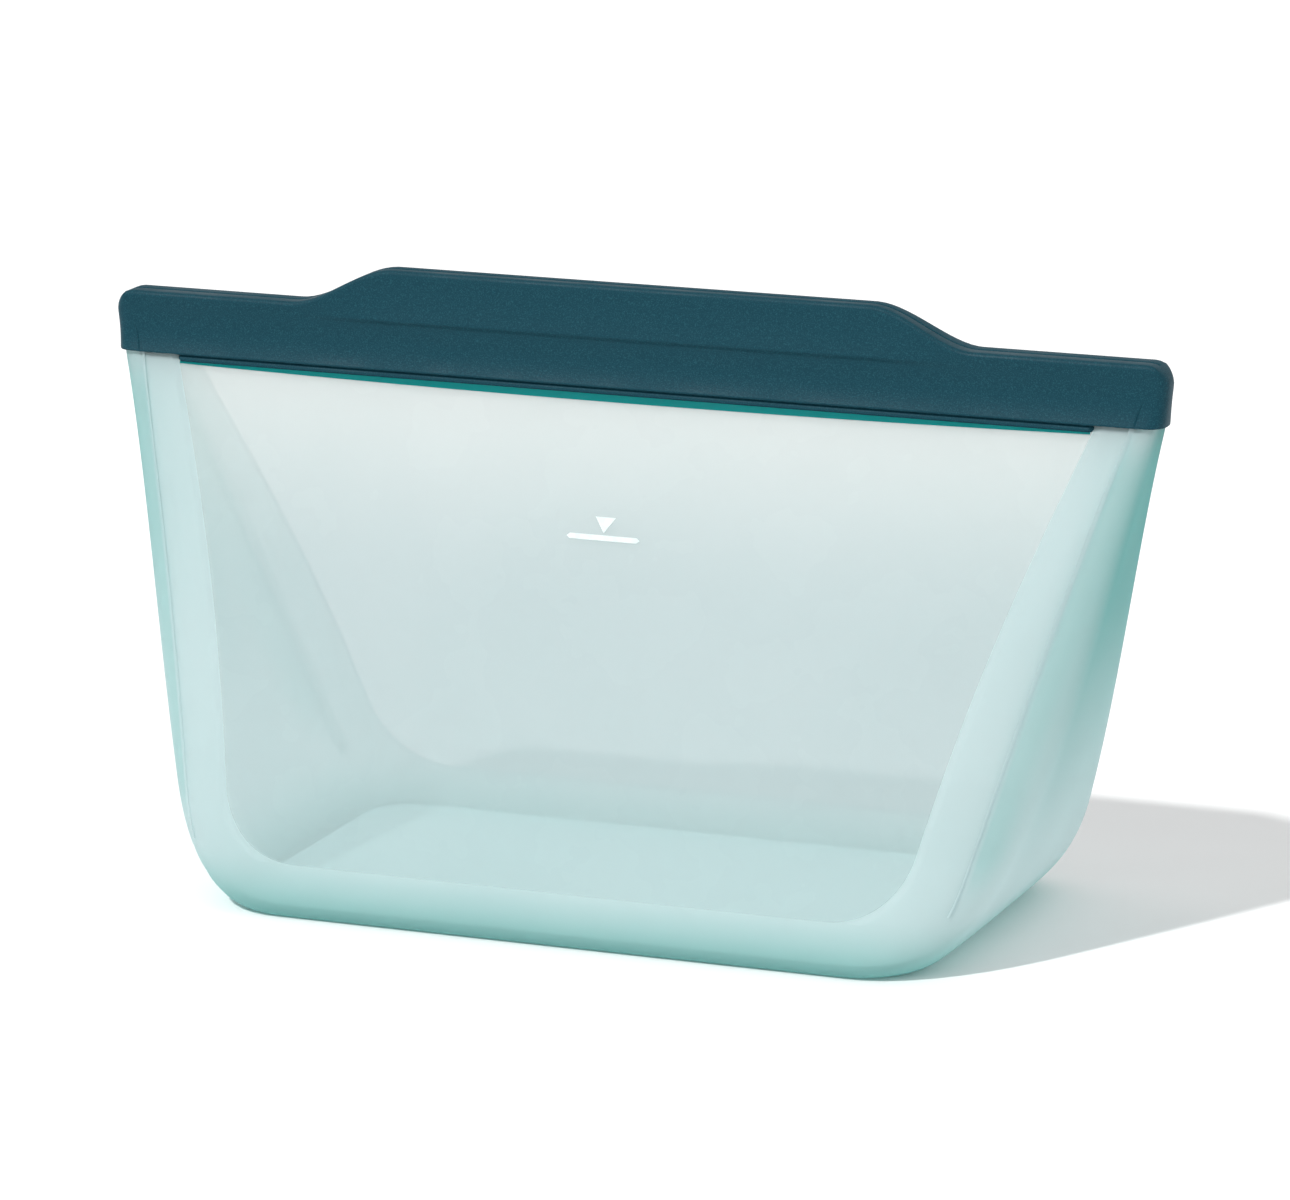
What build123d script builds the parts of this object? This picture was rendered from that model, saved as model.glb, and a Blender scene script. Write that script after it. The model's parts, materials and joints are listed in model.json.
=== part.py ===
"""A stand-up reusable silicone food bag, in millimetres.

+X runs along the mouth, -Y is the front, +Z is up, and the origin is on the floor under the middle of the bag.

The bag is a wedge. A rounded floor pan stands on the table, a front and a back wall lean together above it, and a
triangular gusset closes each end. Each wall is a thin window in a thicker U-shaped frame. A dark closure band runs
along the top: its two lips press together, two ribs on the front lip snap into two grooves in the back lip, and a
raised tab in the middle of each lip is pulled to open them.

The silicone bends along lines, and each stretch between two lines is a panel of its own. A wall swings outwards on
its foot. Its two wings swing on creases that rise from the corners of the floor pan to the ends of the tab, and
each gusset leans in on its own foot. The three kinds of line meet in the corners, so the panels open the mouth
together as one folding form.
"""

import os

from build123d import *

# Body: a frustum between two rounded rectangles
BODY_HEIGHT = 94.4  # floor to the closure band's lower edge
FLOOR_LENGTH = 142.0  # along X, before the floor's edges are rounded
FLOOR_DEPTH = 76.6
TOP_LENGTH = 199.0
TOP_DEPTH = 7.5
CORNER_ROUND = 3.0  # radius of the four upright corners
END_EDGE_ROUND = 12.0  # radius of the floor's edges, seen from the front
WALL_EDGE_ROUND = 6.0  # and seen from the side
WALL = 2.0
WINDOW_RECESS = 0.3  # the window's outer face lies this far inside the frame's
WINDOW_WALL = 1.3

# Window, the same in both walls
WINDOW_BASE = 10.4
WINDOW_LOW_HALF = 65.0  # half length at its lower edge
WINDOW_TOP_HALF = 88.4
WINDOW_CORNER = 17.0

# Bending lines, on the outer faces of the walls
HINGE_HEIGHT = 10.0  # the walls and gussets bend on the floor pan at this height
BAND_LINE = 100.5  # height in the closure band through which the upright lines pass
CREASE_TOP_HALF = 67.0  # half length between the creases at that height
END_TOP_HALF = 98.0  # half length to the line between a wing and a gusset
WING_FOLD = 38.0  # degrees of room for a wing's swing
FOOT_GAP = 0.5  # between the floor pan and what bends on it
CREASE_GAP = 0.3
END_GAP_LOW = 0.5  # between a wing and a gusset, at their foot
END_GAP_HIGH = 2.2  # and at the band

# Closure band
BAND_TOP = 106.6  # height of the lips outside the tabs
TAB_TOP = 113.6
TAB_FLAT_HALF = 47.0  # half length of a tab's level top
TAB_FOOT_HALF = 66.0  # where its curved shoulders come down to the lip
TAB_GAP = 0.3
ARM_END = 93.2  # half length of the two lips that part
BLOCK_START = 97.0  # a solid block joins the lips at each end
BLOCK_END_LOW = 99.6
BLOCK_END_HIGH = 100.6
BLOCK_ROUND = 2.2  # radius of the block's outer corners
LIP_FACE = 3.7  # a lip's outer face, from the middle plane
LIP_WAIST = 3.2  # and its hollow waist
LIP_SKIRT = 4.5  # and its skirt over the wall's edge
LIP_GAP = 0.2  # from the middle plane to a closed lip's inner face
LIP_MOUTH = 1.0  # the same at the top of a tab, where a finger gets in
WAIST_HEIGHT = 101.0
SKIRT_HEIGHT = 95.6

# Press-to-close seal
RIB_HEIGHTS = (98.4, 103.0)
RIB_WIDTH = 1.5
RIB_TIP = 1.7  # the ribs reach this far past the middle plane
GROOVE_CLEARANCE = 0.25
RIB_END = 82.0  # half length of the ribs

# Fill mark on the front window
MARK_HEIGHT = 70.0
MARK_LENGTH = 14.0
MARK_LINE = 0.9
MARK_POINTER = 3.4
MARK_RAISE = 0.25

REACH = 60.0  # cutters reach this far beyond what they cut
SIDE_LEAN = (TOP_LENGTH - FLOOR_LENGTH) / 2 / BODY_HEIGHT
WALL_LEAN = (FLOOR_DEPTH - TOP_DEPTH) / 2 / BODY_HEIGHT


def half_length(z):
    return FLOOR_LENGTH / 2 + SIDE_LEAN * z


def half_depth(z):
    return FLOOR_DEPTH / 2 - WALL_LEAN * z


CORNER = Vector(half_length(HINGE_HEIGHT), -half_depth(HINGE_HEIGHT), HINGE_HEIGHT)
CREASE_TOP = Vector(CREASE_TOP_HALF, -LIP_FACE, BAND_LINE)
END_SLOPE = (END_TOP_HALF - CORNER.X) / (BAND_LINE - HINGE_HEIGHT)


# ---- Forms and cutters ----


def is_upright(edge):
    """Whether an edge rises more steeply than it runs sideways."""
    middle = edge.tangent_at(0.5)
    return abs(middle.Z) > max(abs(middle.X), abs(middle.Y))


def leaning_profile(half, inset, top, foot_round):
    """A trapezoid drawn in by inset, with its lower corners rounded. half gives its half length at a height."""
    with BuildSketch() as profile:
        with BuildLine():
            Polyline(
                (inset - half(inset), inset),
                (half(inset) - inset, inset),
                (half(top) - inset, top),
                (inset - half(top), top),
                close=True,
            )
        make_face()
        if foot_round:
            fillet(profile.vertices().group_by(Axis.Y)[0], foot_round - inset)
    return profile.sketch


def crossed_form(inset, top, end_round, wall_round):
    """What a long wedge seen from the front and one seen from the side have in common."""
    with BuildPart() as form:
        with BuildSketch(Plane.XZ):
            add(leaning_profile(half_length, inset, top, end_round))
        extrude(amount=REACH, both=True)
        with BuildSketch(Plane.YZ):
            add(leaning_profile(half_depth, inset, top, wall_round))
        extrude(amount=2 * REACH, both=True, mode=Mode.INTERSECT)
    return form.part


def body_form(inset, top):
    """The bag's outer form as one solid up to height top, drawn in by inset at the sides and the floor."""
    with BuildPart() as form:
        add(crossed_form(inset, top, 0, 0))
        fillet(form.edges().filter_by(is_upright), CORNER_ROUND - inset)
        add(crossed_form(inset, top, END_EDGE_ROUND, WALL_EDGE_ROUND), mode=Mode.INTERSECT)
    return form.part


def shell(outer, inner):
    """The wall between two inset forms, open at the top."""
    with BuildPart() as wall:
        add(body_form(outer, BODY_HEIGHT))
        add(body_form(inner, BODY_HEIGHT + 1), mode=Mode.SUBTRACT)
    return wall.part


def window_prism():
    """A prism through the front wall with the window's outline."""
    with BuildPart() as prism:
        with BuildSketch(Plane.XZ) as outline:
            with BuildLine():
                Polyline(
                    (-WINDOW_LOW_HALF, WINDOW_BASE),
                    (WINDOW_LOW_HALF, WINDOW_BASE),
                    (WINDOW_TOP_HALF, BODY_HEIGHT),
                    (-WINDOW_TOP_HALF, BODY_HEIGHT),
                    close=True,
                )
            make_face()
            fillet(outline.vertices().group_by(Axis.Y)[0], WINDOW_CORNER)
        extrude(amount=REACH)
    return prism.part


def end_prism(sign, grow_low, grow_high):
    """A wedge over one end of the bag, bounded by the two lines between the wings and the gusset."""
    with BuildPart() as prism:
        for z, grow in ((HINGE_HEIGHT, grow_low), (BODY_HEIGHT, grow_high)):
            edge = CORNER.X + END_SLOPE * (z - HINGE_HEIGHT) - grow
            tip = edge - half_depth(z)
            with BuildSketch(Plane.XY.offset(z)):
                with BuildLine():
                    Polyline(
                        (sign * tip, 0),
                        (sign * (edge + REACH), -half_depth(z) - REACH),
                        (sign * (edge + REACH), half_depth(z) + REACH),
                        close=True,
                    )
                make_face()
        loft(ruled=True)
    return prism.part


def crease_plane(sign, turn, gap):
    """The plane through one crease, turned about it. Its positive side is the wing's side."""
    corner = Vector(sign * CORNER.X, CORNER.Y, CORNER.Z)
    top = Vector(sign * CREASE_TOP.X, CREASE_TOP.Y, CREASE_TOP.Z)
    along = (top - corner).normalized()
    outward = Vector(0, -1, WALL_LEAN).normalized()
    across = along.cross(outward)
    if across.X * sign < 0:
        across = -across
    across = across.rotate(Axis((0, 0, 0), tuple(along)), turn)
    return Plane(origin=corner + across * gap, z_dir=across)


def front_middle(blank):
    """The stretch of the front wall or lip between its two creases."""
    with BuildPart() as middle:
        add(blank)
        for sign in (-1, 1):
            split(bisect_by=crease_plane(sign, 0, 0), keep=Keep.BOTTOM)
    return middle.part


def front_wing(blank, sign):
    """The stretch of the front wall or lip beyond one crease, cut back so that it can swing."""
    with BuildPart() as wing:
        add(blank)
        split(bisect_by=crease_plane(sign, 0, CREASE_GAP), keep=Keep.TOP)
        split(bisect_by=crease_plane(sign, -sign * WING_FOLD, 0), keep=Keep.TOP)
    return wing.part


# ---- Body of the bag ----


def floor_pan():
    with BuildPart() as pan:
        add(shell(0, WALL))
        split(bisect_by=Plane.XY.offset(HINGE_HEIGHT), keep=Keep.BOTTOM)
    return pan.part


def gusset(sign):
    with BuildPart() as end:
        add(shell(0, WALL))
        split(bisect_by=Plane.XY.offset(HINGE_HEIGHT + FOOT_GAP), keep=Keep.TOP)
        add(end_prism(sign, 0, 0), mode=Mode.INTERSECT)
    return end.part


def front_blank(outer, inner):
    """A front wall between two insets, from its foot to the band and from gusset to gusset."""
    with BuildPart() as blank:
        add(shell(outer, inner))
        split(bisect_by=Plane.XY.offset(HINGE_HEIGHT + FOOT_GAP), keep=Keep.TOP)
        split(bisect_by=Plane.XZ, keep=Keep.TOP)
        for sign in (-1, 1):
            add(end_prism(sign, END_GAP_LOW, END_GAP_HIGH), mode=Mode.SUBTRACT)
    return blank.part


def front_panel(stretch, clear):
    """One stretch of the front wall: its thin clear part inside the window's outline, or the frame outside it."""
    with BuildPart() as panel:
        add(stretch)
        add(window_prism(), mode=Mode.INTERSECT if clear else Mode.SUBTRACT)
    return panel.part


# ---- Closure band ----


def lip_profile(grooved):
    """A front lip's cross-section, hollow-waisted outside and flat inside, with a skirt at its foot."""
    with BuildSketch() as profile:
        with BuildLine():
            Polyline(
                (-LIP_SKIRT, SKIRT_HEIGHT),
                (-LIP_SKIRT, BODY_HEIGHT),
                (-LIP_GAP, BODY_HEIGHT),
                (-LIP_GAP, BAND_TOP),
                (-LIP_MOUTH, TAB_TOP),
                (-LIP_FACE, TAB_TOP),
                (-LIP_FACE, BAND_TOP),
            )
            ThreePointArc((-LIP_FACE, BAND_TOP), (-LIP_WAIST, WAIST_HEIGHT), (-LIP_SKIRT, SKIRT_HEIGHT))
        make_face()
        if grooved:
            depth = RIB_TIP + GROOVE_CLEARANCE
            with Locations([(0, z) for z in RIB_HEIGHTS]):
                Rectangle(2 * depth, RIB_WIDTH + 2 * GROOVE_CLEARANCE, mode=Mode.SUBTRACT)
    return profile.sketch


def lip_blank(grooved):
    """A whole front lip with its tab, before the creases divide it."""
    with BuildPart() as lip:
        with BuildSketch(Plane.XZ):
            with BuildLine():
                for sign in (-1, 1):
                    Polyline((0, BODY_HEIGHT), (sign * ARM_END, BODY_HEIGHT), (sign * ARM_END, BAND_TOP))
                    Line((sign * ARM_END, BAND_TOP), (sign * TAB_FOOT_HALF, BAND_TOP))
                    Spline(
                        (sign * TAB_FOOT_HALF, BAND_TOP),
                        (sign * TAB_FLAT_HALF, TAB_TOP),
                        tangents=((-sign, 0), (-sign, 0)),
                    )
                    Line((sign * TAB_FLAT_HALF, TAB_TOP), (0, TAB_TOP))
            make_face()
        extrude(amount=REACH)
        with BuildSketch(Plane.YZ.offset(-ARM_END - 1)):
            add(lip_profile(grooved))
        extrude(amount=2 * ARM_END + 2, mode=Mode.INTERSECT)
    return lip.part


def front_lip(grooved):
    with BuildPart() as lip:
        add(front_middle(lip_blank(grooved)))
        split(bisect_by=Plane.XY.offset(BAND_TOP), keep=Keep.BOTTOM)
    return lip.part


def front_pull_tab():
    with BuildPart() as tab:
        add(front_middle(lip_blank(False)))
        split(bisect_by=Plane.XY.offset(BAND_TOP + TAB_GAP), keep=Keep.TOP)
    return tab.part


def rib_blank():
    """The two sealing ribs over their whole length."""
    with BuildPart() as ribs:
        with BuildSketch(Plane.YZ.offset(-RIB_END)) as section:
            with Locations([((RIB_TIP - LIP_GAP) / 2, z) for z in RIB_HEIGHTS]):
                Rectangle(RIB_TIP + LIP_GAP, RIB_WIDTH)
            fillet(section.vertices().group_by(Axis.X)[-1], RIB_WIDTH / 3)
        extrude(amount=2 * RIB_END)
    return ribs.part


def band_end(sign):
    """The solid block that joins the two lips at one end of the mouth."""
    with BuildPart() as block:
        with BuildSketch(Plane.XZ.offset(-LIP_SKIRT)):
            with BuildLine():
                Polyline(
                    (sign * BLOCK_START, BODY_HEIGHT),
                    (sign * BLOCK_END_LOW, BODY_HEIGHT),
                    (sign * BLOCK_END_HIGH, BAND_TOP),
                    (sign * BLOCK_START, BAND_TOP),
                    close=True,
                )
            make_face()
        extrude(amount=2 * LIP_SKIRT)
        upright = block.edges().filter_by(is_upright)
        outer = upright.sort_by(lambda edge: abs(edge.center().X))[-2:]
        fillet(outer, BLOCK_ROUND)
        for side in (-1, 1):
            with BuildSketch(Plane.YZ.offset(sign * BLOCK_START)):
                with BuildLine():
                    ThreePointArc(
                        (side * LIP_FACE, BAND_TOP),
                        (side * LIP_WAIST, WAIST_HEIGHT),
                        (side * LIP_SKIRT, SKIRT_HEIGHT),
                    )
                    Polyline(
                        (side * LIP_SKIRT, SKIRT_HEIGHT),
                        (side * 2 * LIP_SKIRT, SKIRT_HEIGHT),
                        (side * 2 * LIP_SKIRT, BAND_TOP + 1),
                        (side * LIP_FACE, BAND_TOP + 1),
                        (side * LIP_FACE, BAND_TOP),
                    )
                make_face()
            extrude(amount=sign * REACH, mode=Mode.SUBTRACT)
    return block.part


# ---- Fill mark ----


def fill_mark():
    """A level line with a small pointer on it, raised on the front window."""
    depth = half_depth(MARK_HEIGHT) - WINDOW_RECESS
    face = Plane(origin=(0, -depth, MARK_HEIGHT), x_dir=(1, 0, 0), z_dir=(0, -1, WALL_LEAN))
    with BuildPart() as mark:
        with BuildSketch(face):
            SlotOverall(MARK_LENGTH, MARK_LINE)
            with Locations((0, MARK_LINE / 2 + MARK_POINTER / 3)):
                RegularPolygon(MARK_POINTER / 2, 3, rotation=-90)
        extrude(amount=MARK_RAISE)
    return mark.part


# ---- Export ----


def save(name, solid):
    """Write one named piece."""
    solid.label = name
    export_step(solid, f"parts/{name}.step")


def flipped(solid):
    """A front piece's twin at the back."""
    with BuildPart() as twin:
        add(solid)
        mirror(about=Plane.XZ, mode=Mode.REPLACE)
    return twin.part


def save_both(name, solid):
    """Write a piece of the front wall, and its twin in the back wall."""
    save(f"front_{name}", solid)
    save(f"back_{name}", flipped(solid))


os.makedirs("parts", exist_ok=True)
window_blank = front_blank(WINDOW_RECESS, WINDOW_RECESS + WINDOW_WALL)
frame_blank = front_blank(0, WALL)

save("floor_pan", floor_pan())
save_both("window", front_panel(front_middle(window_blank), True))
save_both("frame_feet", front_panel(front_middle(frame_blank), False))
save("front_lip", front_lip(False))
save("back_lip", flipped(front_lip(True)))
save_both("pull_tab", front_pull_tab())
save("front_ribs", front_middle(rib_blank()))
save("front_fill_mark", fill_mark())
for sign, side in ((-1, "left"), (1, "right")):
    save_both(f"{side}_window", front_panel(front_wing(window_blank, sign), True))
    save_both(f"{side}_frame", front_panel(front_wing(frame_blank, sign), False))
    save(f"front_{side}_lip", front_wing(lip_blank(False), sign))
    save(f"back_{side}_lip", flipped(front_wing(lip_blank(True), sign)))
    save(f"front_{side}_ribs", front_wing(rib_blank(), sign))
    save(f"{side}_gusset", gusset(sign))
    save(f"{side}_band_end", band_end(sign))
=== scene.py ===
"""How the silicone food bag looks: its skin, closure band and seal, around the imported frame.

Lengths in this script are millimetres until a mesh is made, and come from the frame's boxes and joints
where it has them. Shapes are worked out for the front right quarter of the bag, and mirrored to the other
three. The bag's skin is one smooth surface, given by a height z and a length s along the outline at that
height, from the middle of the wall. Every panel is a closed slab cut from that surface, so neighbours meet
edge to edge. Edges that only part two panels of one moulding carry a clear seam material, because the real
silicone runs through.
"""

import json
from math import cos, pi, radians, sin, sqrt

import bmesh
import bpy
import numpy as np
from mathutils import Matrix, Vector


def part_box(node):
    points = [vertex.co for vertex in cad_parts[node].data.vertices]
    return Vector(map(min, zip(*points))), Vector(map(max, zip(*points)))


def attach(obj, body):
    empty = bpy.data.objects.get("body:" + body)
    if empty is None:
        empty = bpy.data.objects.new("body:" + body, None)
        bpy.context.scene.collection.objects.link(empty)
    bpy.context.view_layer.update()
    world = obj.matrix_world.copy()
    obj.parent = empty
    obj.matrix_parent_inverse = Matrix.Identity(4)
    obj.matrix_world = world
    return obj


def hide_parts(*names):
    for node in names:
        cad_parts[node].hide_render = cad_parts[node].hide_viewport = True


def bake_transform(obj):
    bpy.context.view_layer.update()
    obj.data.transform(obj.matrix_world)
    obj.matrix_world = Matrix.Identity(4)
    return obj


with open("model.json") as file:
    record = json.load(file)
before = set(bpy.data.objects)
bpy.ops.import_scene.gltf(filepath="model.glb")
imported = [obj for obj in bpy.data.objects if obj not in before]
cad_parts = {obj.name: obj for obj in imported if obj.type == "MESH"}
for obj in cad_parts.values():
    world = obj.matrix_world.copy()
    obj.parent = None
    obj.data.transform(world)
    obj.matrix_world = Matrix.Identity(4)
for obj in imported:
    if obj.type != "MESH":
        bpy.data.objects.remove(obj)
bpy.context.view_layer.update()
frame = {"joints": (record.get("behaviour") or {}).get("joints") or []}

MM = 0.001
WALLS = (("front", 1), ("back", -1))
SIDES = (("left", -1), ("right", 1))
JOINTS = {joint["name"]: joint for joint in frame["joints"]}


def node_box(node):
    """A node's lowest and highest corners in millimetres."""
    low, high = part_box(node)
    return Vector(low) / MM, Vector(high) / MM


# ---- Sizes from the frame ----

HINGE = JOINTS["front_right_crease"]["pos_m"]
HINGE_X = HINGE[0] / MM  # the corner where the three bending lines meet
HINGE_Y = -HINGE[1] / MM
HINGE_Z = HINGE[2] / MM
FOOT = np.array([HINGE_X, -HINGE_Y, HINGE_Z])
CREASE = Vector(JOINTS["front_right_crease"]["axis"]).normalized()
BAND_LOW = node_box("front_lip")[0].z
BAND_TOP = node_box("front_right_lip")[1].z
TAB_TOP = node_box("front_pull_tab")[1].z
TAB_FOOT = node_box("front_pull_tab")[1].x + 3.0  # the slope beside the tab runs out beyond it
TOP_HALF_LENGTH = node_box("right_gusset")[1].x
TOP_HALF_DEPTH = 3.75
BLOCK_START = node_box("right_band_end")[0].x
BLOCK_END = node_box("right_band_end")[1].x + 1.1  # the soft band swells a little past its solid core

# upper end of the line on which wing and gusset fold, and how it leans inside the band
EDGE_TOP_X = TOP_HALF_LENGTH - 1.5
EDGE_TOP_Y = 3.7
EDGE_TOP_Z = 100.5
EDGE_LEAN = 0.265

# ---- Sizes of the skin ----

FRAME_WALL = 2.0
WINDOW_WALL = 1.3
RECESS = 0.3  # how deep the window lies behind the frame
RAMP = 1.6  # width of the rounded step between frame and window
WINDOW_LOW_HALF = 63.8
WINDOW_TOP_HALF = 88.4
WINDOW_BOW = 2.2  # how far the window's sides curve in at mid-height
WINDOW_CORNER = 17.0
END_ROUND = (20.0, 8.4)  # height and reach of the floor's edge rounding at the two ends
WALL_ROUND = (14.0, 4.7)  # and along the two walls
SPREAD = (1.5, 3.2)  # how far the soft floor spreads beyond the bending lines, lengthwise and crosswise
FLOOR_LIFT = 0.5  # how far the floor's middle stands up
NECK = 0.7  # flare of the ends right under the band
CORNER_TOP = 3.2  # radius of the upright corners under the band
CORNER_FOOT = 11.0  # at the floor
CORNER_SWELL = 3.9  # and added at mid-height
END_WAIST = 0.7  # how far the ends are drawn in at mid-height
END_SWELL = 4.2  # outward bulge of the gussets
WALL_SWELL = 1.5  # and of the walls
SWELL_SKEW = 0.68  # below 1, the bulges are widest below mid-height
SLACK = 0.25  # depth of the walls' uneven slack
SLACK_WAVES = (0.061, 0.083)  # how fast it waves along the bag and upwards, in radians per millimetre
BEND_START = 1.5  # a wall starts to bend this far before its crease
SKIN_TOP = BAND_LOW + 1.4
FOLD_TURN = radians(42)  # a little more than wings and arms turn against the ends
FOLD_FOOT = 1.2  # the skin under a fold starts this far above the floor pan
LEAN_X = (TOP_HALF_LENGTH - HINGE_X) / (BAND_LOW - HINGE_Z)
LEAN_Y = (HINGE_Y - TOP_HALF_DEPTH) / (BAND_LOW - HINGE_Z)
WINDOW_LEAN = (WINDOW_TOP_HALF - WINDOW_LOW_HALF) / (BAND_LOW - HINGE_Z)
WINDOW_RUN = sqrt(1 + WINDOW_LEAN**2)
# the circle in the window's lower corner touches its lower edge and its sloping side
WINDOW_CENTRE_X = WINDOW_LOW_HALF + WINDOW_LEAN * WINDOW_CORNER - WINDOW_CORNER * WINDOW_RUN
WINDOW_CENTRE_Z = HINGE_Z + WINDOW_CORNER


# ---- The skin as a surface ----


def smooth(t):
    """0 below 0, 1 above 1, and a smooth step between."""
    t = np.clip(t, 0, 1)
    return t * t * (3 - 2 * t)


def rounding(z, size):
    """How far an elliptical edge rounding of (height, reach) draws the skin in at height z."""
    height, reach = size
    share = np.clip((height - z) / height, 0, 1)
    return reach * (1 - np.sqrt(1 - share * share))


def outline(z):
    """Half length, half depth and corner radius of the skin at height z."""
    share = np.clip(z / BAND_LOW, 0, 1)
    half_x = HINGE_X + LEAN_X * (z - HINGE_Z) - rounding(z, END_ROUND)
    half_x = half_x + SPREAD[0] * (1 - share) + NECK * share**8 - END_WAIST * np.sin(pi * share)
    half_y = HINGE_Y - LEAN_Y * (z - HINGE_Z) - rounding(z, WALL_ROUND) + SPREAD[1] * (1 - share)
    radius = CORNER_TOP * share + CORNER_FOOT * (1 - share) + CORNER_SWELL * np.sin(pi * share)
    return half_x, half_y, radius


def wall_y(z):
    """Half depth of the skin at height z."""
    return outline(z)[1]


def flat_point(s, z):
    """The skin at (s, z) before the walls' slack and the window's recess."""
    half_x, half_y, radius = outline(z)
    front = half_x - radius
    arc = pi / 2 * radius
    turn = np.clip((s - front) / radius, 0, pi / 2)
    side = np.clip(s - front - arc, 0, None)
    x = np.minimum(s, front) + radius * np.sin(turn)
    y = half_y - radius * (1 - np.cos(turn)) - side
    swell = np.sin(pi * np.clip(z / BAND_LOW, 0, 1) ** SWELL_SKEW)
    out_x = END_SWELL * swell * (1 - (y / half_y) ** 4)
    out_y = WALL_SWELL * swell * (1 - (x / half_x) ** 4)
    return np.stack([x + out_x, -(y + out_y), np.broadcast_to(z, x.shape)], axis=-1)


def quarter_length(z):
    """Length of the outline at height z, from the middle of a wall to the middle of an end."""
    half_x, half_y, radius = outline(z)
    return half_x + half_y + (pi / 2 - 2) * radius


def edge_x(z):
    """How far along the bag the line is, on which wing and gusset fold, at height z."""
    return HINGE_X + (EDGE_TOP_X - HINGE_X) / (EDGE_TOP_Z - HINGE_Z) * (z - HINGE_Z)


def edge_y(z):
    """And how far it is from the bag's middle plane."""
    return HINGE_Y - (HINGE_Y - EDGE_TOP_Y) / (EDGE_TOP_Z - HINGE_Z) * (z - HINGE_Z)


def edge_length(z):
    """Length along the outline where the skin is nearest the line on which wing and gusset fold."""
    half_x, _, radius = outline(z)
    s = half_x - 1.4 * radius + np.linspace(0, 2.2, 1500) * radius  # searched around the rounded corner
    point = flat_point(s, z)
    away = np.hypot(point[..., 0] - edge_x(z), point[..., 1] + edge_y(z))
    return np.take_along_axis(s, np.argmin(away, axis=1)[:, None], axis=1)


def window_bow(z):
    """How far the window's sides curve in at height z."""
    return WINDOW_BOW * np.sin(pi * np.clip((z - HINGE_Z) / (BAND_LOW - HINGE_Z), 0, 1))


def window_half(z):
    """Half length of the window at height z, with its lower corners rounded."""
    straight = WINDOW_LOW_HALF + WINDOW_LEAN * (z - HINGE_Z)
    touch_z = WINDOW_CENTRE_Z - WINDOW_CORNER * WINDOW_LEAN / WINDOW_RUN
    drop = np.clip(WINDOW_CENTRE_Z - z, -WINDOW_CORNER, WINDOW_CORNER)
    on_arc = WINDOW_CENTRE_X + np.sqrt(np.maximum(WINDOW_CORNER**2 - drop * drop, 0))
    return np.where(z < touch_z, on_arc, straight) - window_bow(z)


def window_distance(x, z):
    """How far a point of a wall is outside the window, negative inside it."""
    x = np.abs(x) + window_bow(z)
    side = (x - WINDOW_LOW_HALF - WINDOW_LEAN * (z - HINGE_Z)) / WINDOW_RUN
    foot = HINGE_Z - z
    in_corner = (side > -WINDOW_CORNER) & (foot > -WINDOW_CORNER)
    away = np.hypot(np.maximum(x - WINDOW_CENTRE_X, 0), np.maximum(WINDOW_CENTRE_Z - z, 0))
    return np.where(in_corner, away - WINDOW_CORNER, np.maximum(side, foot))


def slack(point):
    """Uneven slack of the soft walls, which fades out at their edges."""
    x, y, z = point[..., 0], point[..., 1], point[..., 2]
    up = np.clip((z - HINGE_Z) / (BAND_LOW - HINGE_Z), 0, 1)
    waves = np.sin(SLACK_WAVES[0] * x + 1.3) * np.sin(SLACK_WAVES[1] * z + 0.4) * np.sin(pi * up)
    along = np.clip(1 - (x / (HINGE_X + 8)) ** 2, 0, 1)
    return SLACK * waves * along * smooth((np.abs(y) - 3) / 3)


def skin(s, z):
    """Outer and inner surface points of the skin at (s, z) on the front right quarter."""
    step = 0.05
    point = flat_point(s, z)
    lengthwise = flat_point(s + step, z) - flat_point(s - step, z)
    upwards = flat_point(s, z + step) - flat_point(s, z - step)
    normal = np.cross(lengthwise, upwards)
    normal /= np.maximum(np.linalg.norm(normal, axis=-1, keepdims=True), 1e-9)
    outside = smooth(window_distance(s, z) / RAMP)
    swell = slack(point)
    outer = swell - RECESS * (1 - outside)
    inner = swell - RECESS - WINDOW_WALL - (FRAME_WALL - RECESS - WINDOW_WALL) * outside
    return point + normal * outer[..., None], point + normal * inner[..., None]


def turned(points, turn):
    """Points turned towards the wing, about the line on which wing and gusset fold."""
    meet = np.array([EDGE_TOP_X, -EDGE_TOP_Y, EDGE_TOP_Z])
    rotation = np.array(Matrix.Rotation(turn, 3, Vector(meet - FOOT).normalized()))
    return (points - FOOT) @ rotation.T + FOOT


# ---- Painted shade on the skin ----

FOLD_SHADE_WIDTH = (1.0, 5.5)  # how far a fold's painted crease shade reaches into the wing and into the gusset
FOLD_SHADE_SHIFT = 1.2  # how far the strongest painted shade lies to the gusset's side of the fold
FOLD_SHADE_FADE = 14.0  # height over which the painted shade fades at its two ends
FOLD_SHADE_HIGH = BAND_LOW + 4
END_SHADE_START = 8.0  # heights between which the middle of an end grows deeper in colour, as painted shade and partly as the deeper tone of silicone folded double
END_SHADE_END = 75.0
END_SHADE_REACH = 0.55  # share of an end's half depth in which it does
END_FROM = HINGE_X - 20  # only points farther along the bag than this belong to an end


def fold_crease_shade(points):
    """Painted crease shade: 1 beside the lines on which wings and gussets fold, fading faster to the wing
    than to the gusset.
    """
    x, y, z = np.abs(points).T
    beside = (y - edge_y(z) - x + edge_x(z)) / sqrt(2) + FOLD_SHADE_SHIFT
    fade = smooth((z - HINGE_Z) / FOLD_SHADE_FADE) * smooth((FOLD_SHADE_HIGH - z) / FOLD_SHADE_FADE)
    width = np.where(beside > 0, FOLD_SHADE_WIDTH[0], FOLD_SHADE_WIDTH[1])
    return np.exp(-((beside / width) ** 2)) * fade


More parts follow.
